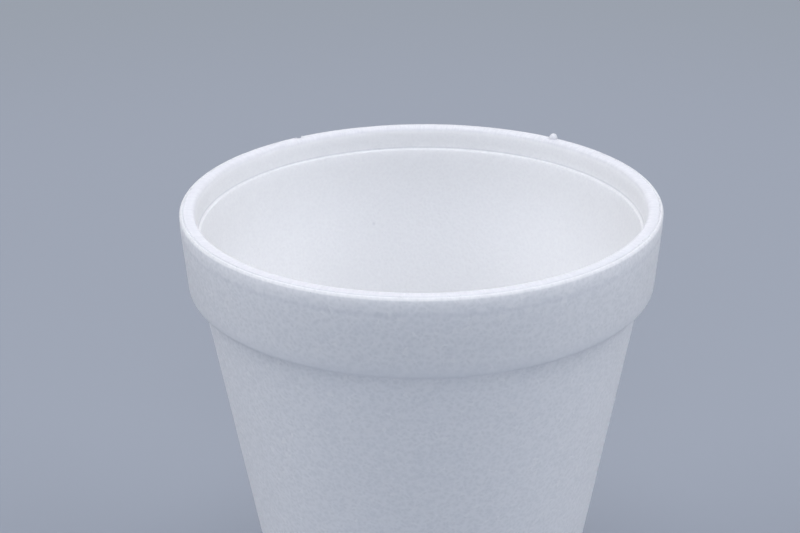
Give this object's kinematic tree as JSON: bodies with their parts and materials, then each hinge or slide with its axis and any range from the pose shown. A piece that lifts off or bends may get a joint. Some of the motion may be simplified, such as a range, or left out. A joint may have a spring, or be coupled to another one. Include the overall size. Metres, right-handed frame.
{
  "type": "foam cup",
  "caption": "White tapered drinking cup moulded in foam, with a deep collar under its rim, a ledge inside the mouth and a foot ring.",
  "frame": {"origin": "middle of the foot ring's plane, on the cup's axis", "axes": "+Z along the cup's axis, towards the mouth"},
  "size_m": [0.0794, 0.0794, 0.0928],
  "materials": {
    "foam": "white moulded expanded polystyrene, matt, with a fine grain of fused beads"
  },
  "bodies": {
    "root": {"cup": "foam"}
  },
  "joints": []
}
